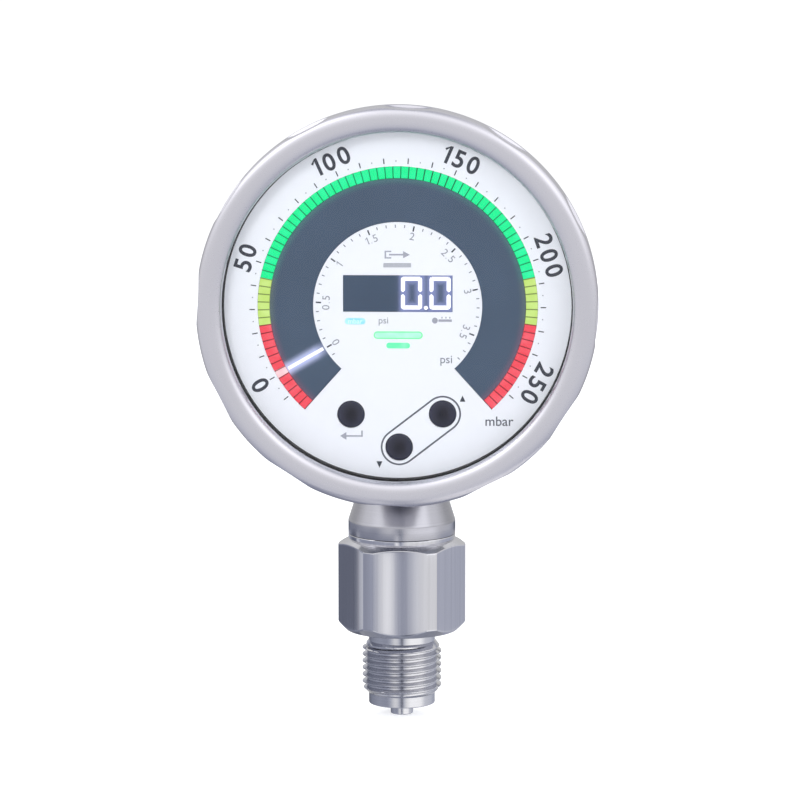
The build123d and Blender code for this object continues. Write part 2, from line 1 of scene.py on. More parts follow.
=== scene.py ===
import bmesh
import bpy
import numpy as np
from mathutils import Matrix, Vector


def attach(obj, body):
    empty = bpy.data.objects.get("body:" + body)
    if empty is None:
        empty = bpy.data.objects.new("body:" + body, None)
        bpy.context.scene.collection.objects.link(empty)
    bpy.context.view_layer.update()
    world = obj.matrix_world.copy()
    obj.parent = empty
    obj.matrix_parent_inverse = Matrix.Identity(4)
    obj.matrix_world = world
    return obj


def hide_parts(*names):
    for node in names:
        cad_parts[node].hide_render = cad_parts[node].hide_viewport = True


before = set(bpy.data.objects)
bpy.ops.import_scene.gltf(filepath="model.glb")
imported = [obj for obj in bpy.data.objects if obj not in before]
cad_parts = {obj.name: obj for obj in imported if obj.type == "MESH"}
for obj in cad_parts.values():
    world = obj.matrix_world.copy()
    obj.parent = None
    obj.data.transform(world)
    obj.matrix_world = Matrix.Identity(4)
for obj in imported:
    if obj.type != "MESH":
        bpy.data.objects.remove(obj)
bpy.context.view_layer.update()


# Process connection: one bar of stainless steel, turned and milled. It ends in a G1/2 thread with
# a spigot below and a wrench hexagon with turned corners above; a fine seam parts it from the neck.
def linear(code):
    """Colour with alpha from an sRGB hex value: each channel undone by the sRGB curve."""
    channel = np.array([int(code[i:i + 2], 16) for i in (0, 2, 4)]) / 255
    return tuple(np.where(channel <= 0.04045, channel / 12.92, ((channel + 0.055) / 1.055) ** 2.4)) + (1.0,)


def add(tree, kind, inputs=None, **settings):
    """Adds a node, gives it its settings, and fills its inputs with values or with other nodes' outputs."""
    made = tree.nodes.new("ShaderNode" + kind)
    for key, value in settings.items():
        setattr(made, key, value)
    for key, value in (inputs or {}).items():
        if isinstance(value, bpy.types.NodeSocket):
            tree.links.new(value, made.inputs[key])
        else:
            made.inputs[key].default_value = value
    return made


def new_material(name, **shader):
    """A material with its shader's own sockets set; gives back the material, its tree and the shader."""
    made = bpy.data.materials.new(name)
    made.use_nodes = True
    body = made.node_tree.nodes["Principled BSDF"]
    for key, value in shader.items():
        body.inputs[key.replace("_", " ")].default_value = value
    return made, made.node_tree, body


def skin(name, points, faces, crease=30):
    """Piece from points in mm and faces: doubles merged, faces outwards, edges over the crease sharp."""
    mesh = bpy.data.meshes.new(name)
    mesh.from_pydata((points / 1000).tolist(), [], faces if isinstance(faces, list) else faces.tolist())
    work = bmesh.new()
    work.from_mesh(mesh)
    bmesh.ops.remove_doubles(work, verts=work.verts, dist=2e-6)
    bmesh.ops.dissolve_degenerate(work, edges=work.edges, dist=1e-7)
    bmesh.ops.recalc_face_normals(work, faces=work.faces)
    work.to_mesh(mesh)
    work.free()
    mesh.shade_smooth()
    mesh.set_sharp_from_angle(angle=np.radians(crease))
    piece = bpy.data.objects.new(name, mesh)
    bpy.context.scene.collection.objects.link(piece)
    return piece


def surface(name, points, closed_rows=False, closed_columns=True, crease=30):
    """Skin over a grid of points, rows by columns by xyz: one quad between each four neighbours."""
    rows, columns = points.shape[:2]
    index = np.arange(rows * columns).reshape(rows, columns)
    if closed_columns:
        index = np.hstack([index, index[:, :1]])
    if closed_rows:
        index = np.vstack([index, index[:1]])
    quads = np.stack([index[:-1, :-1], index[:-1, 1:], index[1:, 1:], index[1:, :-1]], axis=-1)
    return skin(name, points.reshape(-1, 3), quads.reshape(-1, 4), crease)


def rounded(corners, closed=True, steps=5):
    """Outline through (across, along, radius) corners: each corner is a parabola between its two edges."""
    at = np.array(corners, float)
    corner, radius = at[:, :2], at[:, 2:]

    def towards(other):
        edge = other - corner
        length = np.maximum(np.linalg.norm(edge, axis=1, keepdims=True), 1e-9)
        return corner + edge / length * np.minimum(radius, length * 0.45)

    start, end = towards(np.roll(corner, 1, 0)), towards(np.roll(corner, -1, 0))
    if not closed:
        start[[0, -1]] = end[[0, -1]] = corner[[0, -1]]
    t = np.linspace(0, 1, steps)[None, :, None]
    curve = (1 - t) ** 2 * start[:, None] + 2 * t * (1 - t) * corner[:, None] + t ** 2 * end[:, None]
    return curve.reshape(-1, 2)


head_z = 99.6


def around(radius, run, angle, axis="stem", centre=(0.0, 0.0)):
    """Points at a radius, run and angle about an axis: the stem's run goes up, the head's forward."""
    side, ahead = radius * np.sin(angle), radius * np.cos(angle)
    if axis == "stem":
        spread = np.broadcast_arrays(side, -ahead, run)
    else:
        spread = np.broadcast_arrays(centre[0] + side, -run, head_z + centre[1] + ahead)
    return np.stack(spread, axis=-1)


def turned(name, outline, axis="stem", centre=(0.0, 0.0), closed=True, steps=180, crease=30):
    """Turned form: an outline of (radius, run) points carried round its axis."""
    angle = np.linspace(0, 2 * np.pi, steps, endpoint=False)[None, :]
    points = around(outline[:, :1], outline[:, 1:], angle, axis, centre)
    return surface(name, points, closed_rows=closed, crease=crease)


def dress(piece, body, slot, material, *nodes):
    """Gives a piece its material and its body, and hides the nodes that it stands for. Its slot is not used."""
    piece.data.materials.clear()
    piece.data.materials.append(material)
    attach(piece, body)
    if nodes:
        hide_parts(*nodes)
    return piece


def between(tree, value, start, end, low=0.0, high=1.0, **settings):
    """A value carried from one range into another."""
    return add(tree, "MapRange", {0: value, 1: start, 2: end, 3: low, 4: high}, **settings).outputs[0]


def scaled(tree, colour, factor):
    """A colour times a factor."""
    return add(tree, "VectorMath", {0: colour, "Scale": factor}, operation="SCALE").outputs[0]


def noise(tree, place, scale, detail):
    """Soft noise that varies with the place."""
    return add(tree, "TexNoise", {"Vector": place, "Scale": scale, "Detail": detail}).outputs[0]


def tinted(tree, body, pattern, colour, low, high):
    """Base colour that swings with a pattern between two shares of itself."""
    tone = between(tree, pattern, 0.3, 0.7, low, high)
    tree.links.new(scaled(tree, linear(colour)[:3], tone), body.inputs["Base Color"])


def glossed(tree, body, pattern, low, high):
    """Roughness that swings with a pattern between two values."""
    tree.links.new(between(tree, pattern, 0.3, 0.7, low, high), body.inputs["Roughness"])


def bumped(tree, body, pattern, strength, depth_mm):
    """Fine relief: the surface rises with a pattern by up to a depth."""
    relief = {"Height": pattern, "Strength": strength, "Distance": depth_mm / 1000}
    tree.links.new(add(tree, "Bump", relief).outputs[0], body.inputs["Normal"])


def turned_steel(name, colour, rough, axis, pitch_mm=0.45, depth_mm=0.0012):
    """Turned stainless steel: fine rings left by the tool, drawn 0.45 mm apart so that they show."""
    made, tree, body = new_material(name, Metallic=1.0)
    place = add(tree, "TexCoord").outputs["Object"]
    rings = (1, 1, 1000 / pitch_mm) if axis == "stem" else (1, 1000 / pitch_mm, 1)
    stretched = add(tree, "Mapping", {"Vector": place, "Scale": rings}).outputs[0]
    lines = noise(tree, stretched, 1.0, 2.0)
    tinted(tree, body, lines, colour, 0.95, 1.03)
    tree.links.new(between(tree, lines, 0.2, 0.8, rough * 0.85, rough * 1.2), body.inputs["Roughness"])
    bumped(tree, body, lines, 0.3, depth_mm)
    return made


stem_steel = turned_steel("stainless_steel_turned_stem", "CECED3", 0.1, "stem")

thread_r = 20.955 / 2
pitch = 1.814
thread_depth = 1.162
collar_r = 8.8
spigot_r = 3.0
z_tip, z_collar, z_thread, z_relief, z_hex, z_neck, z_split = -12.9, -9.9, -7.1, 7.1, 10.1, 34.4, 35.8
hex_flats = 31.0
flat_crown_r = 100.0
hex_corner_r = 16.85
foot_r = 14.75
neck_r = 14.15
port_r = 1.75
root_share, flank_share = 0.2, 0.7
run_out_slope = 0.8

# Each row of the thread follows the helix at one share of the pitch, so crests and roots stay sharp.
angle = np.linspace(0, 2 * np.pi, 145)[None, :]
profile = np.array([0, 0.05, 0.08, 0.16, 0.28, 0.37, 0.4, 0.6, 0.63, 0.72, 0.84, 0.92, 0.95])
turns = np.arange(np.floor(z_thread / pitch) - 1, np.ceil(z_relief / pitch) + 1)[:, None] + profile
start = np.clip(turns.reshape(-1, 1) * pitch, z_thread - pitch, z_relief)
phase = np.abs(2 * np.mod(start / pitch, 1.0) - 1)
height = np.clip(start + pitch * angle / (2 * np.pi), z_thread, z_relief)
crest = thread_r - thread_depth * (1 - np.clip((phase - root_share) / flank_share, 0, 1))
run_out = np.minimum(height - z_thread, (z_relief - height) * run_out_slope)
thread = around(np.minimum(crest, collar_r + run_out), height, angle)
below = rounded([(port_r, z_tip + 8, 0), (port_r, z_tip, 0.1), (spigot_r, z_tip, 0.3),
                 (spigot_r, z_collar, 0.1), (collar_r, z_collar, 0.35), (collar_r, z_thread, 0)], closed=False)
above = rounded([(collar_r, z_relief, 0), (collar_r, z_hex, 0.3), (collar_r + 1.5, z_hex, 0)], closed=False)
shank = np.concatenate([around(below[:, :1], below[:, 1:], angle), thread,
                        around(above[:, :1], above[:, 1:], angle)])
cut_steel = turned_steel("stainless_steel_cut_thread", "D2D2D6", 0.16, "stem", depth_mm=0.0003)
dress(surface("process_thread", shank, closed_columns=False, crease=35), "connection", "turned_steel",
      cut_steel, "process_connection")

# The wrench section: six flats, very slightly crowned as drawn bar is, with the turned corners left
# between them, chamfered at both ends. Its steel shows the faint upright streaks of drawing.
half_flat = np.arccos(hex_flats / 2 / hex_corner_r)
top_chamfer_slope = 0.577
one_side = np.concatenate([np.linspace(-half_flat, half_flat, 13),
                           np.linspace(half_flat, np.pi / 3 - half_flat, 9)[1:-1]])
angle = (one_side[None, :] + np.arange(6)[:, None] * np.pi / 3).reshape(1, -1)
off_flat = np.abs(np.mod(angle + np.pi / 6, np.pi / 3) - np.pi / 6)
aside = hex_flats / 2 * np.tan(off_flat)
wall = np.minimum((hex_flats / 2 - aside ** 2 / (2 * flat_crown_r)) / np.cos(off_flat), hex_corner_r)
low = z_hex + wall - foot_r
high = z_neck - (wall - neck_r) * top_chamfer_slope
rows = [(9.0, z_hex), (foot_r - 0.12, z_hex), (foot_r + 0.1, z_hex + 0.1),
        (wall - 0.12, low - 0.12), (wall - 0.02, low + 0.04), (wall, low + 0.2), (wall, low + 0.4),
        (wall, (low + high) / 2),
        (wall, high - 0.4), (wall, high - 0.2), (wall - 0.03, high), (wall - 0.2, high + 0.1),
        (neck_r - 0.12, z_neck - 0.02), (neck_r - 0.2, z_neck + 0.06),
        (neck_r - 0.02, z_neck + 0.34), (neck_r, z_neck + 0.45),
        (neck_r, z_split - 0.15), (neck_r - 0.1, z_split - 0.02), (neck_r - 0.3, z_split), (10.5, z_split)]
hexagon = np.concatenate([around(r + 0 * angle, z + 0 * angle, angle) for r, z in rows])
drawn_steel, tree, body = new_material("stainless_steel_drawn_bar", Metallic=1.0)
place = add(tree, "TexCoord").outputs["Object"]
stretched = add(tree, "Mapping", {"Vector": place, "Scale": (1400, 1400, 12)}).outputs[0]
streaks = noise(tree, stretched, 1.0, 3.0)
tinted(tree, body, streaks, "CBCBD1", 0.94, 1.03)
glossed(tree, body, streaks, 0.1, 0.14)
dress(surface("wrench_hexagon", hexagon, crease=12), "connection", "turned_steel", drawn_steel,
      "process_connection")


# Inside the stem: a rubber seal, the ceramic measuring cell with its circuit, and the swivel shaft
# that clamps them. They keep their CAD forms, each with the finish of its own material.
def plain(name, colour, grain_mm, rough, spread=0.06, **shader):
    """Moulded, ground or plated surface: slight mottling in colour and gloss at its grain's size."""
    made, tree, body = new_material(name, **shader)
    place = add(tree, "TexCoord").outputs["Object"]
    cloud = noise(tree, place, 1000 / grain_mm, 3.0)
    tinted(tree, body, cloud, colour, 1 - spread, 1 + spread * 0.3)
    glossed(tree, body, cloud, rough * 0.9, rough * 1.1)
    bumped(tree, body, cloud, 0.2, grain_mm / 20)
    return made


def finish_node(material, *names):
    """Gives CAD nodes that keep showing their material."""
    for name in names:
        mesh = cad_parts[name].data
        mesh.materials.clear()
        mesh.materials.append(material)


rubber = plain("black_rubber_moulded", "1B1C20", 0.5, 0.6)
ceramic = plain("alumina_ceramic_ground", "EDEBE4", 0.3, 0.45)
board = plain("circuit_board_solder_mask", "1F5A38", 1.5, 0.35)
plated = plain("brass_nickel_plated", "C9C6BC", 0.8, 0.25, Metallic=1.0)
spring = plain("spring_steel_bright", "8E9096", 0.6, 0.3, Metallic=1.0)
finish_node(rubber, "cell_seal", "swivel_seal", "plug_seal")
finish_node(ceramic, "measuring_cell")
finish_node(board, "cell_board", "led_board", "main_board")
finish_node(plated, "board_spacers", "plug_nut")
finish_node(spring, "retaining_ring", "board_screws")
finish_node(stem_steel, "swivel_shaft", "stop_pin", "board_posts")

# Neck: a turned stainless sleeve that swivels on the shaft, with a fine turned cone under the case.
# It is welded into the case, so it turns with the head.
z_sleeve, z_cone, z_cone_top, z_sleeve_top = 35.9, 39.4, 49.3, 56.87
cone_top_r = 11.0
bore_r = 7.55
neck = rounded([(bore_r, z_sleeve, 0.1), (neck_r, z_sleeve, 0.12), (neck_r, z_cone, 0.15),
                (neck_r - 0.09, z_cone + 0.3, 0.15), (cone_top_r, z_cone_top, 1.2),
                (cone_top_r, z_sleeve_top, 0.2), (bore_r, z_sleeve_top, 0.1)])
cone_steel = turned_steel("stainless_steel_turned_cone", "B0B0B8", 0.2, "stem")
dress(turned("neck_sleeve_cone", neck, crease=14), "head", "turned_steel", cone_steel, "neck_sleeve")

# Case: a can drawn from stainless sheet, brushed round its wall, and a machined ring welded on its
# front that carries the bezel's thread. Both keep their CAD forms.
case_steel = turned_steel("stainless_steel_drawn_case", "C4C6CC", 0.3, "head", pitch_mm=0.6, depth_mm=0.006)
ring_steel = turned_steel("stainless_steel_turned_ring", "C8CAD0", 0.22, "head")
finish_node(case_steel, "housing_can")
finish_node(ring_steel, "housing_ring")

# Electrical plug at the back: a turned sleeve with an M12 thread, clamped by a nut, a black
# insert with four gold-plated pins, and a plastic cap over the breathing hole beside it.
plug_steel = turned_steel("stainless_steel_turned_plug", "C6C8CE", 0.2, "head", pitch_mm=0.35)
plug_centre = (0.0, -16.0)
plug_r, plug_flange_r, plug_neck_r, plug_bore_r = 6.0, 9.5, 7.5, 4.65
plug_pitch, plug_tooth, plug_relief, insert_r = 1.0, 0.54, 0.6, 5.3
y_sleeve_in, y_case_back, y_flange, y_plug_end, y_insert = 12.0, 19.0, 21.5, 34.0, 24.0
angle = np.linspace(0, 2 * np.pi, 96, endpoint=False)[None, :]
run = np.linspace(y_flange + 0.3, y_plug_end - 0.05, 150)[:, None]
phase = np.abs(2 * np.mod(run / plug_pitch - angle / (2 * np.pi), 1.0) - 1)
tooth = np.clip((phase - 0.15) / 0.7, 0, 1)
ends = np.minimum((run - y_flange - 0.3) * 1.2, (y_plug_end - run) * 1.0)
radius = np.minimum(plug_r - plug_tooth * (1 - tooth), plug_r - plug_relief + ends)
plug_root_r = plug_r - plug_relief
collar = rounded([(insert_r, y_sleeve_in, 0.1), (plug_neck_r, y_sleeve_in, 0.2),
                  (plug_neck_r, y_case_back, 0.1), (plug_flange_r, y_case_back, 0.2),
                  (plug_flange_r, y_flange, 0.4), (plug_root_r, y_flange, 0.2),
                  (plug_root_r, y_flange + 0.3, 0)], closed=False)
mouth = rounded([(plug_root_r, y_plug_end, 0), (plug_bore_r, y_plug_end, 0.25),
                 (plug_bore_r, y_insert, 0.1), (insert_r, y_insert, 0)], closed=False)
sleeve = np.concatenate([around(collar[:, :1], -collar[:, 1:], angle, "head", plug_centre),
                         around(radius, -run, angle, "head", plug_centre),
                         around(mouth[:, :1], -mouth[:, 1:], angle, "head", plug_centre)])
dress(surface("plug_sleeve_threaded", sleeve, closed_rows=True, crease=50), "head", "turned_steel",
      plug_steel, "plug_sleeve")
black_plastic = plain("black_polyamide_moulded", "1D1E22", 0.4, 0.5)
gold = plain("gold_plated_contact", "E6B85C", 0.5, 0.2, Metallic=1.0)
finish_node(black_plastic, "plug_insert")
finish_node(gold, "contact_pins")
cap_centre = (24.0, 14.0)
cap_r, cap_pin_r, y_cap_top, y_cap_pin = 5.0, 2.5, 21.4, 16.1
cap = rounded([(0, y_cap_top, 0), (cap_r, y_cap_top, 0.8), (cap_r, y_case_back, 0.1),
               (cap_pin_r, y_case_back, 0.1), (cap_pin_r, y_cap_pin, 0.1), (0, y_cap_pin, 0)], closed=False)
cap[:, 1] *= -1
dress(turned("vent_cap_round", cap, "head", cap_centre, closed=False, steps=96), "head", "black_plastic",
      black_plastic, "vent_cap")

# Dial: a black moulded carrier and a white plate on it, screen printed in dark grey. The print
# is raised by 0.03 mm, as a thick ink film is.
dial_depth = 30.5
ink_depth = 0.03
dial_white = plain("white_polycarbonate_printed", "F2F5FC", 2.0, 0.45, spread=0.012)
finish_node(black_plastic, "dial_carrier", "digit_module")
finish_node(dial_white, "dial_plate")
dark_ink = plain("screen_ink_dark_grey", "2B303D", 0.5, 0.5)
grey_ink = plain("screen_ink_mid_grey", "6F7480", 0.5, 0.5)
outline_ink = plain("screen_ink_slate", "565A66", 0.5, 0.5)
thin_ink = plain("screen_ink_light_grey", "8C8F9A", 0.5, 0.5)
mark_ink = plain("screen_ink_pale_grey", "A2A5B2", 0.5, 0.5)


def dial_bars(name, span, angles, wide):
    """Radial strokes: at each angle a low box from an inner to an outer radius."""
    at = np.radians(angles)
    out = np.stack([np.cos(at), np.sin(at)], -1)[:, None]
    side = np.stack([-np.sin(at), np.cos(at)], -1)[:, None]
    reach = np.array(span)[[0, 1, 1, 0]][:, None]
    flat = out * reach + side * (np.array([1, 1, -1, -1]) * wide / 2)[:, None]
    levels = [np.concatenate([flat[..., :1], np.full_like(flat[..., :1], -d), flat[..., 1:] + head_z], -1)
              for d in (dial_depth, dial_depth + ink_depth)]
    points = np.concatenate(levels, axis=1)
    box = np.array([[0, 1, 2, 3], [7, 6, 5, 4], [0, 4, 5, 1], [1, 5, 6, 2], [2, 6, 7, 3], [3, 7, 4, 0]])
    faces = box[None] + 8 * np.arange(len(at))[:, None, None]
    return skin(name, points.reshape(-1, 3), faces.reshape(-1, 4))


per_unit, inner_per_unit = 0.9566, 66.02
scale_zero, inner_zero = 210.2, 210.4
values = np.arange(-10, 261, 5)
tens = values % 10 == 0
value_angles = scale_zero - per_unit * values
tenths = np.arange(-1, 39)
halves = tenths % 5 == 0
tenth_angles = inner_zero - inner_per_unit / 10 * tenths
for name, span, angles, wide, ink in (
        ("scale_ticks", (36.35, 37.75), value_angles[tens], 0.28, dark_ink),
        ("scale_fine_ticks", (36.88, 37.15), value_angles[~tens], 0.26, grey_ink),
        ("inner_scale_ticks", (19.5, 20.85), tenth_angles[halves], 0.38, dark_ink),
        ("inner_scale_fine_ticks", (20.1, 20.85), tenth_angles[~halves], 0.24, grey_ink)):
    dress(dial_bars(name, span, angles, wide), "head", "white_dial", ink)


def glyph(text, weight):
    """Letter form a unit high: outline corners for a one with its flag, built-in lettering otherwise."""
    curve = bpy.data.curves.new("glyph", "CURVE" if text == "1" else "FONT")
    curve.extrude = 0.01
    if text == "1":
        curve.dimensions, curve.fill_mode = "2D", "BOTH"
        w = 0.065 + weight * 1.2
        corners = [(w, 0), (w, 1), (-w * 0.5, 1), (-0.32, 0.77), (-0.32 + w, 0.77 - w), (-w, 0.86), (-w, 0)]
        line = curve.splines.new("POLY")
        line.points.add(len(corners) - 1)
        line.points.foreach_set("co", np.array([(a, b, 0, 1) for a, b in corners]).ravel())
        line.use_cyclic_u = True
    else:
        curve.body, curve.offset = text, weight
    holder = bpy.data.objects.new("glyph", curve)
    bpy.context.scene.collection.objects.link(holder)
    mesh = bpy.data.meshes.new_from_object(holder.evaluated_get(bpy.context.evaluated_depsgraph_get()))
    bpy.data.objects.remove(holder)
    bpy.data.curves.remove(curve)
    return mesh


def lettering(name, words, depth=dial_depth, weight=0.0, spread=0.23):
    """Print as low solid shapes: figures side by side on a turned line, a share of their height apart."""
    whole = bmesh.new()
    for text, x, z, tall, turn in words:
        pieces = [text] if text.isalpha() else list(text)
        parts, cursor = [], 0.0
        for piece in pieces:
            mesh = glyph(piece, weight)
            co = np.zeros(len(mesh.vertices) * 3)
            mesh.vertices.foreach_get("co", co)
            co = co.reshape(-1, 3)
            if piece not in ".1":
                co[:, :2] /= (co[:, 1].max() - co[:, 1].min()) if len(pieces) > 1 or piece.isdigit() else 1.0
            if piece.isdigit():
                co[:, 1] -= co[:, 1].min()
            co[:, 0] += cursor - co[:, 0].min()
            cursor = co[:, 0].max() + spread
            parts.append((mesh, co))
        every = np.concatenate([co for _, co in parts])
        low, high = every.min(0), every.max(0)
        size = tall / (high[1] - low[1])
        c, s = np.cos(np.radians(turn)), np.sin(np.radians(turn))
        for mesh, co in parts:
            flat = (co[:, :2] - (low[:2] + high[:2]) / 2) * size
            across = x + flat[:, 0] * c - flat[:, 1] * s
            up = z + flat[:, 0] * s + flat[:, 1] * c
            out = np.where(co[:, 2] > 0, ink_depth, 0.0) + depth
            mesh.vertices.foreach_set("co", (np.stack([across, -out, up + head_z], -1) / 1000).ravel())
            whole.from_mesh(mesh)
            bpy.data.meshes.remove(mesh)
    mesh = bpy.data.meshes.new(name)
    bmesh.ops.remove_doubles(whole, verts=whole.verts, dist=1e-7)
    bmesh.ops.recalc_face_normals(whole, faces=whole.faces)
    whole.to_mesh(mesh)
    whole.free()
    piece = bpy.data.objects.new(name, mesh)
    bpy.context.scene.collection.objects.link(piece)
    return piece


def on_arc(text, value_angle, radius, tall):
    """A number on the dial, its top outwards."""
    at = np.radians(value_angle)
    return (text, radius * np.cos(at), radius * np.sin(at), tall, value_angle - 90)


numbers = [on_arc(str(v), scale_zero - per_unit * v, 40.6, 4.6) for v in range(0, 251, 50)]
dress(lettering("scale_numbers", numbers, weight=0.02), "head", "white_dial", dark_ink)
numbers = [on_arc(f"{v:g}", inner_zero - inner_per_unit * v, 18.25, 1.9) for v in np.arange(0, 3.6, 0.5)]
dress(lettering("inner_scale_numbers", numbers, spread=0.29), "head", "white_dial", thin_ink)
dress(lettering("scale_units", [("mbar", 26.0, -29.4, 2.45, 0)], weight=0.006), "head", "white_dial",
      outline_ink)
dress(lettering("inner_scale_units", [("psi", 12.4, -13.9, 2.6, 0)]), "head", "white_dial", grey_ink)
dress(lettering("display_units", [("psi", -3.6, -3.9, 2.1, 0)]), "head", "white_dial", thin_ink)


def flat_shapes(name, outlines, depth=dial_depth):
    """Low prisms: each outline of (x, z) points is carried from its depth to the front."""
    points, faces, first = [], [], 0
    for outline in outlines:
        flat = np.array(outline, float)
        n = len(flat)
        for d in (depth, depth + ink_depth):
            points.append(np.stack([flat[:, 0], np.full(n, -d), flat[:, 1] + head_z], -1))
        ring = first + np.arange(n)
        beside = np.roll(ring, -1)
        faces += [ring.tolist(), (ring + n).tolist()]
        faces += np.stack([ring, beside, beside + n, ring + n], -1).tolist()
        first += 2 * n
    return skin(name, np.concatenate(points), faces)


def pill(x, z, wide, tall, corner=None, steps=10):
    """Rounded bar: a quarter arc at each of its corners."""
    r = min(wide, tall) / 2 if corner is None else corner
    quarter = np.linspace(0, np.pi / 2, steps)
    turns = (quarter[None] + np.arange(4)[:, None] * np.pi / 2)
    middle = np.array([[1, 1], [-1, 1], [-1, -1], [1, -1]]) * [wide / 2 - r, tall / 2 - r]
    arc = middle[:, None] + r * np.stack([np.cos(turns), np.sin(turns)], -1) + [x, z]
    return arc.reshape(-1, 2)


def band_between(name, outer, inner):
    """Low ring between two outlines of as many points."""
    rows, top = [], dial_depth + ink_depth
    for outline, d in ((outer, dial_depth), (outer, top), (inner, top), (inner, dial_depth)):
        rows.append(np.stack([outline[:, 0], np.full(len(outline), -d), outline[:, 1] + head_z], -1))
    return surface(name, np.array(rows), closed_rows=True)


def stadium(start, end, radius, steps=24):
    """Outline at a radius round a straight run."""
    start, end = np.array(start), np.array(end)
    lean = np.arctan2(*(end - start)[::-1])
    half = np.linspace(-np.pi / 2, np.pi / 2, steps)
    far = end + radius * np.stack([np.cos(half + lean), np.sin(half + lean)], -1)
    near = start - radius * np.stack([np.cos(half + lean), np.sin(half + lean)], -1)
    return np.concatenate([far, near])


key_places = {"left": (-11.9, -27.8), "right": (11.5, -27.6), "lower": (0.4, -36.2)}
frame_line = band_between("key_pair_outline", stadium(key_places["lower"], key_places["right"], 4.7),
                          stadium(key_places["lower"], key_places["right"], 4.26))
dress(frame_line, "head", "white_dial", outline_ink)
arrows = [[(15.85, -24.4), (17.3, -24.4), (16.57, -22.8)], [(-5.4, -39.9), (-3.9, -39.9), (-4.65, -41.6)]]
dress(flat_shapes("key_arrows", arrows), "head", "white_dial", dark_ink)
enter_mark = [[(-14.7, -33.4), (-13.1, -32.4), (-13.1, -33.2), (-9.3, -33.2), (-9.3, -32.0), (-8.9, -32.0),
               (-8.9, -33.6), (-13.1, -33.6), (-13.1, -34.4)]]
heat_mark = [pill(9.5, -3.6, 1.5, 1.5), pill(12.1, -3.6, 3.4, 0.6, 0.1)]
heat_mark += [pill(x, -2.85, 0.3, 0.5) for x in (11.3, 12.3, 13.3)]
out_mark = [[(-3.3, 12.2), (-1.6, 12.2), (-1.6, 12.55), (-2.9, 12.55), (-2.9, 13.85), (-1.6, 13.85),
             (-1.6, 14.2), (-3.3, 14.2)],
            [(-2.2, 13.0), (1.4, 13.0), (1.4, 12.3), (3.1, 13.2), (1.4, 14.1), (1.4, 13.4), (-2.2, 13.4)]]
dress(flat_shapes("function_marks", enter_mark + heat_mark + out_mark), "head", "white_dial", mark_ink)


# Lit segments: blocks of clear plastic over light emitters, one for each step of the scale,
# parted by dark gaps. They light red, yellow-green and green along the scale.
def mixed(tree, share, first, second):
    """A colour between two, by a share."""
    return add(tree, "Mix", {0: share, 6: first, 7: second}, data_type="RGBA").outputs[2]


def lit(name, colour, edge, strength, base, front_mm=None):
    """Light guide lit from behind: an even glow, paler in soft random spots, fading down its walls."""
    made, tree, body = new_material(name, Roughness=0.35, Base_Color=linear(base),
                                    Emission_Strength=strength, Specular_IOR_Level=0.15)
    place = add(tree, "TexCoord").outputs["Object"]
    spot = between(tree, noise(tree, place, 300.0, 1.0), 0.42, 0.75)
    shade = mixed(tree, spot, linear(colour), linear(edge))
    if front_mm is not None:
        depth = add(tree, "SeparateXYZ", {0: place}).outputs[1]
        fade_end, fade_start = -(front_mm - 0.16) / 1000, -(front_mm - 0.02) / 1000
        shade = scaled(tree, shade, between(tree, depth, fade_end, fade_start, 0.3))
    tree.links.new(shade, body.inputs["Emission Color"])
    return made


arc_start, arc_sweep, segment_count = -47.7, 276.0, 83
segment_in_r, segment_out_r, segment_mid_r, segment_gap = 32.65, 35.65, 34.0, 0.25
segment_front, segment_back, bevel_depth, bevel_in = 30.4, 24.0, 0.12, 0.07
segment_pitch = arc_sweep / segment_count


def segments(name, numbers):
    """Sector blocks with a bevelled front: outline points at three depths, the last one set in."""
    first = np.radians(arc_start + segment_pitch * np.array(numbers))[:, None, None]
    levels = np.array([[segment_back, 0.0], [segment_front - bevel_depth, 0.0], [segment_front, bevel_in]])
    inset = levels[:, 1][None, :, None]
    r_out, r_in = segment_out_r - inset, segment_in_r + inset
    share = np.array([0, 0.5, 1])
    trim = (segment_gap / 2 + inset) / segment_mid_r
    width = np.radians(segment_pitch) - 2 * trim
    outer_angle = first + trim + width * share
    inner_angle = first + trim + width * share[::-1]
    angle = np.concatenate([outer_angle, inner_angle], axis=-1)
    radius = np.concatenate([r_out + 0 * outer_angle, r_in + 0 * inner_angle], axis=-1)
    depth = levels[:, 0][None, :, None] + 0 * angle
    points = np.stack([radius * np.cos(angle), -depth, radius * np.sin(angle) + head_z], -1)
    ring = np.arange(6)
    beside = np.roll(ring, -1)
    wall = np.stack([ring, beside, beside + 6, ring + 6], -1)
    block = 18 * np.arange(len(first))[:, None, None]
    sides = np.concatenate([wall, wall + 6])[None] + block
    caps = np.stack([ring[::-1], ring + 12])[None] + block
    faces = sides.reshape(-1, 4).tolist() + caps.reshape(-1, 6).tolist()
    return skin(name, points.reshape(-1, 3), faces, crease=60)


middle = arc_start + segment_pitch * (np.arange(segment_count) + 0.5)
red = lit("light_guide_lit_red", "F84C5C", "FC6676", 1.0, base="200A0E", front_mm=segment_front)
amber = lit("light_guide_lit_yellow_green", "C6E878", "D2F28E", 1.0, base="1C2008", front_mm=segment_front)
green = lit("light_guide_lit_green", "00F898", "22FCAA", 1.0, base="041C12", front_mm=segment_front)
white = lit("light_guide_lit_white", "FFFFFF", "F4F2FF", 1.0, base="808088")
pointer_angle = 210.0
at_pointer = np.abs(middle - pointer_angle) < segment_pitch / 2
amber_low, green_low, green_high, amber_high = -8, 11.9, 168.5, 188.5
groups = {
    "segments_red": (red, (middle < amber_low) | (middle > amber_high)),
    "segments_yellow_green": (amber, ((middle > amber_low) & (middle < green_low))
                              | ((middle > green_high) & (middle < amber_high))),
    "segments_green": (green, (middle > green_low) & (middle < green_high)),
}
for name, (material, member) in groups.items():
    dress(segments(name, np.flatnonzero(member & ~at_pointer)), "head", "light_guide", material, "segment_ring")
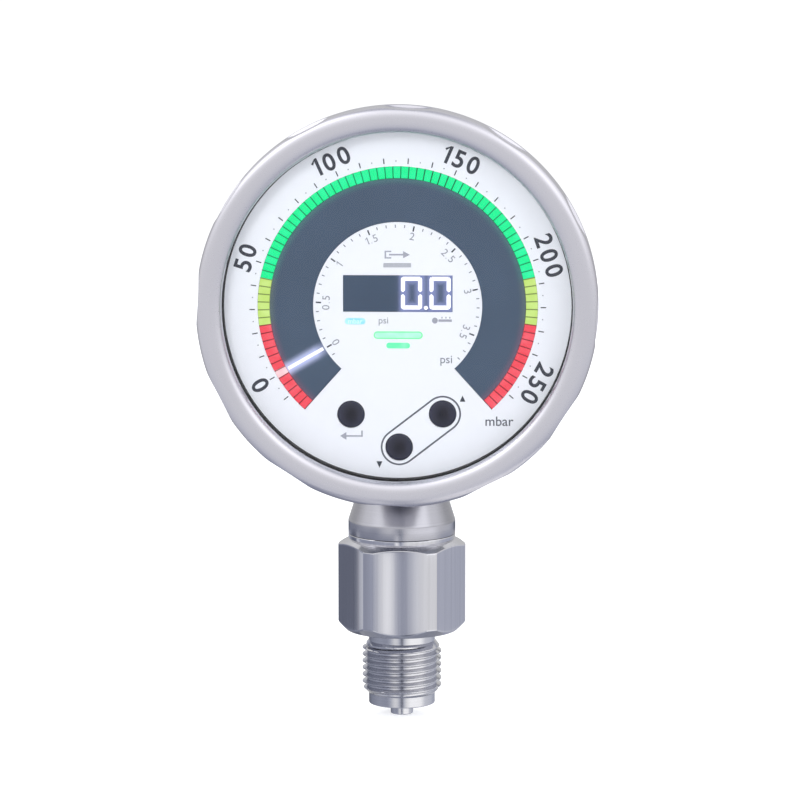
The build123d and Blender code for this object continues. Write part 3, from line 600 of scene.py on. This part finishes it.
pale_red = lit("light_guide_lit_pale_red", "FFC0C6", "FFE6E8", 1.0, base="604048", front_mm=segment_front)
dress(segments("segment_at_pointer", np.flatnonzero(at_pointer)), "head", "light_guide", pale_red,
      "segment_ring")


# Pointer field: a smoked plastic plate inside the segments, with a lit bar at zero. The glow that the lit
# pieces spill into it is painted into the plate as emission, and fades within a few millimetres.
def maths(tree, how, *values, **settings):
    """A number worked out from others."""
    return add(tree, "Math", dict(enumerate(values)), operation=how, **settings).outputs[0]


def along_way(tree, vector, way):
    """How far a vector reaches along a direction."""
    return add(tree, "VectorMath", {0: vector, 1: way}, operation="DOT_PRODUCT").outputs["Value"]


def ramp(tree, at, stops):
    """A colour read off a line of stops, each a position and a colour."""
    made = add(tree, "ValToRGB", {0: at})
    while len(made.color_ramp.elements) < len(stops):
        made.color_ramp.elements.new(0.5)
    for stop, (position, colour) in zip(made.color_ramp.elements, stops):
        stop.position, stop.color = position, colour
    return made.outputs[0]


smoked, tree, body = new_material("smoked_plastic_moulded", Roughness=0.35, Emission_Strength=1.0,
                                  Specular_IOR_Level=0.2)
place = add(tree, "TexCoord").outputs["Object"]
split = add(tree, "SeparateXYZ", {0: place}).outputs
up = maths(tree, "SUBTRACT", split[2], head_z / 1000)
flat = add(tree, "CombineXYZ", {0: split[0], 1: up}).outputs[0]
reach = add(tree, "VectorMath", {0: flat}, operation="LENGTH").outputs["Value"]
# Painted glow: emission near the segment ring, in each segment's colour by bearing, and near the pointer bar,
# standing in for their light spilt into the plate.
near_ring = between(tree, reach, 0.0305, 0.0328, interpolation_type="SMOOTHERSTEP")
turn = maths(tree, "DIVIDE", maths(tree, "ARCTAN2", up, split[0]), 2 * np.pi)
turn = maths(tree, "MODULO", maths(tree, "ADD", turn, 1.25), 1.0)
stops = [(42.3, "50141C"), (80, "50141C"), (84, "3A4014"), (100, "3A4014"), (104, "0C4A30"), (256, "0C4A30"),
         (260, "3A4014"), (276, "3A4014"), (280, "50141C"), (318, "50141C")]
glow = ramp(tree, turn, [(degrees / 360, linear(colour)) for degrees, colour in stops])
aim = np.radians(pointer_angle)
along = along_way(tree, flat, (np.cos(aim), np.sin(aim), 0))
aside = maths(tree, "ABSOLUTE", along_way(tree, flat, (-np.sin(aim), np.cos(aim), 0)))
near_bar = between(tree, aside, 0.0034, 0.0002, interpolation_type="SMOOTHERSTEP")
near_bar = maths(tree, "MULTIPLY", near_bar, between(tree, along, 0.018, 0.024))
painted_bar_glow = scaled(tree, linear("B9BEE6")[:3], maths(tree, "POWER", near_bar, 2.2))
painted_spill_glow = add(tree, "VectorMath", {0: scaled(tree, glow, near_ring), 1: painted_bar_glow}, operation="ADD").outputs[0]
tree.links.new(painted_spill_glow, body.inputs["Emission Color"])
tinted(tree, body, noise(tree, place, 60.0, 2.0), "43546A", 0.93, 1.05)
finish_node(smoked, "pointer_field")
finish_node(white, "pointer_bar")

# Display: a smoked window with the lit seven-segment digits 0.0 on it; the haze of their light is painted
# into the window as a glow. Round it sit the lit labels for unit and status, and the lenses for status and
# output.
window, tree, body = new_material("smoked_acrylic_window", Roughness=0.3, Emission_Strength=1.0,
                                  Specular_IOR_Level=0.2)
place = add(tree, "TexCoord").outputs["Object"]
split = add(tree, "SeparateXYZ", {0: place}).outputs
haze_x, digits_z, zero_off = 7.3, 3.4, 3.625
zero_half_wide, zero_half_tall = 2.18, 3.68
# Painted haze: the window's emission glows round the zero and fades away from the digits, standing in for their
# light scattered in it.
off_x = maths(tree, "ABSOLUTE", maths(tree, "SUBTRACT", split[0], haze_x / 1000))
fade = between(tree, off_x, 0.0085, 0.0058, interpolation_type="SMOOTHERSTEP")
off_zero = maths(tree, "ABSOLUTE", maths(tree, "SUBTRACT", off_x, zero_off / 1000))
off_zero = maths(tree, "SUBTRACT", off_zero, zero_half_wide / 1000)
off_z = maths(tree, "ABSOLUTE", maths(tree, "SUBTRACT", split[2], (head_z + digits_z) / 1000))
off_z = maths(tree, "SUBTRACT", off_z, zero_half_tall / 1000)
off_bar = maths(tree, "ABSOLUTE", maths(tree, "MAXIMUM", off_zero, off_z))
near_bar = between(tree, off_bar, 0.0021, 0.0004, 0.35, 1.9, interpolation_type="SMOOTHSTEP")
painted_haze = scaled(tree, linear("585B7E")[:3], maths(tree, "MULTIPLY", fade, near_bar))
tree.links.new(painted_haze, body.inputs["Emission Color"])
tinted(tree, body, noise(tree, place, 90.0, 2.0), "3C4D64", 0.92, 1.05)
finish_node(window, "display_window")

digit_wide, digit_tall, stroke = 5.35, 8.35, 1.0
window_front = 30.45


def digit_zero(x, z):
    """Six lit bars with mitred ends round a digit: both verticals are split at the middle."""
    w, t, s, gap = digit_wide / 2, digit_tall / 2, stroke, 0.09
    bars = [[(-w + s + gap, t - s), (w - s - gap, t - s), (w - gap - 0.35, t), (-w + gap + 0.35, t)]]
    bars.append([(a, -b) for a, b in bars[0]])
    side = [(-w, t - 0.55), (-w + 0.25, t - 0.15), (-w + 0.35, t - 0.15), (-w + s, t - s - 0.05),
            (-w + s, 0.75), (-w + s * 0.5, 0.25), (-w, 0.6)]
    for flip_x in (1, -1):
        for flip_z in (1, -1):
            bars.append([(a * flip_x, b * flip_z) for a, b in side])
    return [[(x + a, z + b) for a, b in bar] for bar in bars]


digit_white = lit("display_digit_lit", "FFFFFF", "FBFAFF", 1.15, base="9090A0")
bars = digit_zero(3.55, digits_z) + digit_zero(10.8, digits_z) + [pill(7.2, -0.35, 1.0, 1.0)]
dress(flat_shapes("display_digits", bars, depth=window_front), "head", "light_guide", digit_white)
status = lit("status_lens_lit_green", "A0F9C4", "C4FFDC", 1.0, base="60A080")
finish_node(status, "status_lens")
finish_node(plain("output_lens_unlit", "B5B8C2", 0.6, 0.35), "output_lens")
label_green = lit("status_label_lit_green", "5FE8A0", "9CF7C6", 1.0, base="409070")
label_blue = lit("unit_label_lit_blue", "8CD0EC", "BDE8F8", 1.0, base="5080A0")
dress(flat_shapes("status_label", [pill(0.15, -10.05, 6.0, 1.5, 0.7)]), "head", "light_guide", label_green)
dress(flat_shapes("unit_label", [pill(-10.8, -3.85, 5.2, 1.6, 0.75)]), "head", "light_guide", label_blue)
label_pale = lit("unit_letters_lit_pale_blue", "D4F0FA", "E6F8FF", 1.0, base="7090A8")
letters = lettering("unit_label_letters", [("mbar", -10.8, -3.85, 1.25, 0)],
                    depth=dial_depth + ink_depth, weight=0.01)
dress(letters, "head", "light_guide", label_pale)
rim_green = lit("status_rim_lit_green", "6CEB9C", "7CF0A8", 1.0, base="40805C")
rim = band_between("status_lens_rim", pill(0.15, -7.4, 12.5, 1.95), pill(0.15, -7.4, 11.9, 1.35))
dress(rim, "head", "light_guide", rim_green)


# Touch keys: glossy black lenses with a low dome, set in the dial and sensed through the glass.
# They don't move: a finger on the glass in front of one is enough.
def key_lens(name, centre):
    """Polished black acrylic with a painted reflection: its colour is darker towards the middle of its dome and
    lighter towards its rim.
    """
    made, tree, body = new_material(name, Roughness=0.1, Specular_IOR_Level=0.2)
    place = add(tree, "TexCoord").outputs["Object"]
    middle_at = (centre[0] / 1000, 0, (head_z + centre[1]) / 1000)
    off = add(tree, "VectorMath", {0: place, 1: middle_at}, operation="SUBTRACT").outputs[0]
    off = add(tree, "VectorMath", {0: off, 1: (1.0, 0.0, 0.8)}, operation="MULTIPLY").outputs[0]
    reach = add(tree, "VectorMath", {0: off}, operation="LENGTH").outputs["Value"]
    # Painted reflection: the base colour darkens towards the middle of the dome and lightens towards its rim.
    rim = between(tree, reach, 0.0004, 0.0034, interpolation_type="SMOOTHSTEP")
    tree.links.new(mixed(tree, rim, linear("08081E"), linear("2E3044")), body.inputs["Base Color"])
    return made


key_r, key_seat, key_front, key_dome_r = 3.45, 28.0, 31.1, 11.0
dome = np.linspace(key_r - 0.4, 0, 14)
dome = np.stack([dome, key_front - dome ** 2 / (2 * key_dome_r)], -1)
barrel = rounded([(0, key_seat, 0), (key_r, key_seat, 0.1), (key_r, dome[0, 1] - 0.35, 0)], closed=False)
key_form = np.concatenate([barrel, dome])
for name, centre in key_places.items():
    dress(turned(f"touch_key_{name}", key_form, "head", centre, closed=False, steps=72, crease=40), "head",
          "key_plastic", key_lens("black_acrylic_polished_" + name, centre), f"key_{name}")

# Glass: a flat clear disc between a black rubber gasket and the bezel, with a thin white slip ring
# under the bezel's lip so that the bezel turns without dragging it.
glass, tree, body = new_material("window_glass_clear")
sheer = add(tree, "BsdfTransparent", {0: linear("FEFEFE")}).outputs[0]
shine = add(tree, "BsdfGlossy", {"Color": (1, 1, 1, 1), "Roughness": 0.02}).outputs[0]
share = add(tree, "Fresnel", {"IOR": 1.36}).outputs[0]
inside = add(tree, "NewGeometry").outputs["Backfacing"]
share = maths(tree, "SUBTRACT", share, inside, use_clamp=True)
thin = add(tree, "MixShader", {0: share, 1: sheer, 2: shine}).outputs[0]
tree.links.new(thin, tree.nodes["Material Output"].inputs["Surface"])
finish_node(glass, "glass")
finish_node(rubber, "glass_gasket")
finish_node(plain("slip_ring_fluoroplastic", "E4E4DE", 0.5, 0.4), "slip_ring")

# Bezel: a ring turned from stainless steel and bead blasted to a satin finish, with a rounded
# crown. Twelve shallow flutes are milled in its side for the hand and stop at a plain rear rim.
bezel_r, bezel_inner_r, skirt_r = 51.1, 44.5, 47.62
lip_depth, crown_depth, crown_rise = 34.32, 34.9, 2.5
bezel_back, rim_depth = 25.5, 27.9
flute_count, flute_first, flute_depth, flute_r = 12, 27.0, 0.7, 89.0
middle_r, half_wide = (bezel_r + bezel_inner_r) / 2, (bezel_r - bezel_inner_r) / 2
arc = np.linspace(np.pi, 0, 49)
flatter = 2 / 2.6
crown = np.stack([middle_r + half_wide * np.sign(np.cos(arc)) * np.abs(np.cos(arc)) ** flatter,
                  crown_depth + crown_rise * np.clip(np.sin(arc), 0, 1) ** flatter], -1)
side = np.concatenate([np.linspace(crown_depth, rim_depth + 0.6, 8)[1:],
                       rim_depth + np.linspace(0.5, -0.2, 9),
                       np.linspace(rim_depth - 0.3, bezel_back + 0.5, 4)])
side = np.stack([np.full_like(side, bezel_r), side], -1)
inner = rounded([(bezel_r, bezel_back + 0.5, 0), (bezel_r - 0.05, bezel_back, 0.45),
                 (skirt_r, bezel_back, 0.3), (skirt_r, lip_depth, 0.2),
                 (bezel_inner_r, lip_depth, 0.1), (bezel_inner_r, crown_depth, 0)], closed=False)
outline = np.concatenate([crown, side, inner])
angle = np.linspace(0, 2 * np.pi, flute_count * 50, endpoint=False)[None, :]
half_step = np.pi / flute_count
from_flute = np.mod(np.pi / 2 - angle - np.radians(flute_first) + half_step, 2 * half_step) - half_step
centre_r = bezel_r - flute_depth + flute_r
floor_r = centre_r * np.cos(from_flute) - np.sqrt(flute_r ** 2 - (centre_r * np.sin(from_flute)) ** 2)
soft, run_out_depth, cut_from_r = 0.06, 0.35, 50
radius, depth = outline[:, :1], outline[:, 1:]
cut = -soft * np.logaddexp(-radius / soft, -floor_r / soft)
run_out = np.clip((depth - rim_depth) / run_out_depth, 0, 1)
run_out = run_out * run_out * (3 - 2 * run_out)
radius = radius + (np.minimum(cut, radius) - radius) * run_out * (radius > cut_from_r)
blasted, tree, body = new_material("stainless_steel_bead_blasted", Metallic=1.0)
place = add(tree, "TexCoord").outputs["Object"]
grit_mm = 0.25
grit = noise(tree, place, 1000 / grit_mm, 2.0)
tinted(tree, body, noise(tree, place, 40.0, 2.0), "C9C8D0", 0.985, 1.01)
glossed(tree, body, grit, 0.27, 0.31)
bumped(tree, body, grit, 0.1, 0.004)
ring_points = around(radius + 0 * angle, depth + 0 * angle, angle, "head")
bezel = surface("bezel_ring_fluted", ring_points, closed_rows=True, crease=40)
dress(bezel, "bezel", "satin_steel", blasted, "bezel_ring")

# Studio: a floor of white paper under the spigot. It is white to the camera and keeps the object's
# shadow, and what mirrors it sees through it to the room.
floor_mesh = bpy.data.meshes.new("studio_floor")
reach, floor_z = 6.0, -0.0131
floor_corners = [(-reach, -reach, floor_z), (reach, -reach, floor_z),
                 (reach, reach, floor_z), (-reach, reach, floor_z)]
floor_mesh.from_pydata(floor_corners, [], [(0, 1, 2, 3)])
studio_floor = bpy.data.objects.new("studio_floor", floor_mesh)
bpy.context.scene.collection.objects.link(studio_floor)
floor_paint, tree, body = new_material("floor_white_paper", Roughness=0.9, Base_Color=linear("F2F3F5"),
                                       Specular_IOR_Level=0.0)
ray = add(tree, "LightPath").outputs
white_light = add(tree, "Emission", {0: (1, 1, 1, 1), 1: 0.58}).outputs[0]
paper = add(tree, "AddShader", {0: body.outputs[0], 1: white_light}).outputs[0]
open_air = add(tree, "BsdfTransparent").outputs[0]
away = add(tree, "MixShader", {0: ray["Is Glossy Ray"], 1: body.outputs[0], 2: open_air}).outputs[0]
seen = add(tree, "MixShader", {0: ray["Is Camera Ray"], 1: away, 2: paper}).outputs[0]
tree.links.new(seen, tree.nodes["Material Output"].inputs["Surface"])
floor_mesh.materials.append(floor_paint)


# Light cards stand in one wide ring round the stem, seen by what mirrors them alone. They come in
# three bands by height, for the thread, the wrench section and the neck: grey on the left, a dark
# slit where the camera looks through, and white on the right.
def cool_grey(level):
    """Light of a given level, bluer the darker it is, as a wall lit by the sky."""
    shade = np.clip((1.0 - level) / 0.8, 0, 1)
    return (level * (1 - 0.08 * shade), level, level * (1 + 0.3 * shade), 1)


def light_round(tree, place, stops):
    """Light by bearing in degrees, from the back by the left side to the front and on to the right."""
    split = add(tree, "SeparateXYZ", {0: place}).outputs
    bearing = maths(tree, "ARCTAN2", split[0], maths(tree, "MULTIPLY", split[1], -1.0))
    walls = []
    for degrees, level in stops:
        tint = cool_grey(level) if abs(degrees) < 150 else (level, level, level, 1)
        walls.append(((degrees + 180) / 360, tint))
    return ramp(tree, between(tree, bearing, -np.pi, np.pi), walls), split[2]


def card_ring(name, radius, low, high, material, light):
    """Open wall of light cards round the stem, seen only by what mirrors it."""
    glow = add(material.node_tree, "Emission", {0: light, 1: 1.0}).outputs[0]
    material.node_tree.links.new(glow, material.node_tree.nodes["Material Output"].inputs["Surface"])
    rim = np.linspace(0, 2 * np.pi, 180, endpoint=False)[None, :]
    cards = surface(name, around(radius + 0 * rim, np.array([[low], [high]]) + 0 * rim, rim))
    for seen_by in ("camera", "diffuse", "transmission", "shadow", "volume_scatter"):
        setattr(cards, "visible_" + seen_by, False)
    cards.data.materials.append(material)


card_light, tree, body = new_material("studio_card_light_stem")
place = add(tree, "TexCoord").outputs["Object"]
thread_light, height = light_round(tree, place, [
    (-180, 0.8), (-160, 0.6), (-142, 0.17), (-120, 0.3), (-78, 0.42), (-48, 0.38), (-38, 0.5),
    (-20, 0.98), (-10, 0.8), (-2, 0.42), (1, 0.14), (4, 0.14), (8, 0.62), (19, 1.08), (32, 1.35),
    (68, 1.3), (86, 0.8), (118, 0.67), (142, 0.45), (180, 0.8)])
wrench_light, height = light_round(tree, place, [
    (-180, 0.8), (-135, 0.4), (-122, 0.19), (-105.5, 0.2), (-102.5, 0.8), (-97, 0.78), (-91, 0.42),
    (-66, 0.42), (-42, 0.5), (-14, 0.5), (-10.5, 0.95), (-8, 1.3), (-5.5, 1.15), (-3, 0.62),
    (-1, 0.38), (1, 0.46), (5, 0.85), (10, 1.05), (40, 1.0), (68, 1.0), (92, 0.62), (120, 0.57),
    (150, 0.6), (180, 0.8)])
low_part = between(tree, height, -0.0016, -0.0026)
stem_light = mixed(tree, low_part, wrench_light, thread_light)
neck_light, height = light_round(tree, place, [
    (-170, 0.18), (-144, 0.2), (-130, 0.35), (-99, 0.42), (-70, 0.6), (-58, 0.5), (-48, 0.5),
    (-37.5, 0.85), (-24, 1.15), (-18, 1.1), (-12.5, 0.85), (-6.4, 0.45), (-1, 0.2), (3.5, 0.6),
    (10, 1.1), (17, 1.45), (32, 1.7), (62, 1.7), (74, 1.35), (84, 1.05), (113, 0.9), (131, 0.56),
    (143, 0.2), (166, 0.18)])
high_part = between(tree, height, 0.0236, 0.0244)
stem_light = mixed(tree, high_part, stem_light, neck_light)
card_ring("studio_cards_stem", 70.0, -60.0, 31.0, card_light, stem_light)

# The room is white to the camera. Metal and glass see it with a bright ceiling in front and two
# soft boxes high at the sides, and dull surfaces are lit evenly.
world = bpy.data.worlds.new("studio_room")
bpy.context.scene.world = world
world.use_nodes = True
tree = world.node_tree
tree.nodes.clear()
look = add(tree, "TexCoord").outputs["Generated"]
height = add(tree, "SeparateXYZ", {0: look}).outputs[2]
stops = [(-90, 0.42), (-62, 0.5), (-38, 0.8), (-14, 0.95), (4, 1.0), (16, 1.15), (34, 1.5), (56, 1.4),
         (74, 0.85), (90, 0.7)]
levels = [((np.sin(np.radians(degrees)) + 1) / 2, cool_grey(level)) for degrees, level in stops]
room = ramp(tree, between(tree, height, -1.0, 1.0), levels)
for bearing, rise, width, level in ((-56, 48, 32, 0.8), (45, 26, 26, 0.5)):
    b, r = np.radians(bearing), np.radians(rise)
    aim = (np.sin(b) * np.cos(r), -np.cos(b) * np.cos(r), np.sin(r))
    edge, core = np.cos(np.radians(width)), np.cos(np.radians(width * 0.4))
    box = between(tree, along_way(tree, look, aim), edge, core, high=level, interpolation_type="SMOOTHSTEP")
    room = add(tree, "VectorMath", {0: room, 1: box}, operation="ADD").outputs[0]
behind = add(tree, "SeparateXYZ", {0: look}).outputs[1]
room = scaled(tree, room, between(tree, behind, 0.0, 0.5, 1.0, 0.62))
ray = add(tree, "LightPath").outputs
shown = maths(tree, "MAXIMUM", ray["Is Camera Ray"], ray["Is Transmission Ray"])
even = mixed(tree, ray["Is Glossy Ray"], (0.55, 0.555, 0.565, 1), room)
final = mixed(tree, shown, even, (1, 1, 1, 1))
sky = add(tree, "Background", {0: final, 1: 1.0}).outputs[0]
tree.links.new(sky, add(tree, "OutputWorld").inputs["Surface"])


def lamp(name, place_mm, aim_mm, size_mm, watts, colour="FFFFFF"):
    """Soft square lamp turned to what it lights; metal sees the room's soft boxes in its place."""
    light = bpy.data.lights.new(name, "AREA")
    light.energy, light.size, light.color = watts, size_mm / 1000, linear(colour)[:3]
    holder = bpy.data.objects.new(name, light)
    holder.location = Vector(place_mm) / 1000
    holder.rotation_euler = (Vector(aim_mm) - Vector(place_mm)).to_track_quat("-Z", "Y").to_euler()
    holder.visible_glossy = False
    bpy.context.scene.collection.objects.link(holder)


lamp("lamp_key", (-350, -1080, 560), (0, -30, 80), 320, 3.6)
lamp("lamp_fill", (900, -800, 400), (0, -30, 80), 600, 1.8, "F4F7FF")
lamp("lamp_front", (0, -1250, 200), (0, -30, 90), 300, 2.6)
lamp("lamp_back", (200, 900, 700), (0, 0, 90), 600, 4)

# Camera: a long lens one metre away, 8.2 degrees above the level and 2.1 degrees to the right.
target = Vector((-0.5, 0.0, 71.15)) / 1000
distance, rise, swing = 1.010, np.radians(8.2), np.radians(2.1)
camera_data = bpy.data.cameras.new("camera")
camera_data.lens, camera_data.sensor_width = 172.7, 36.0
camera = bpy.data.objects.new("camera", camera_data)
camera.location = target + distance * Vector((np.sin(swing) * np.cos(rise), -np.cos(swing) * np.cos(rise),
                                              np.sin(rise)))
camera.rotation_euler = (target - camera.location).to_track_quat("-Z", "Y").to_euler()
bpy.context.scene.collection.objects.link(camera)
bpy.context.scene.camera = camera
bpy.context.scene.view_settings.view_transform = "Standard"
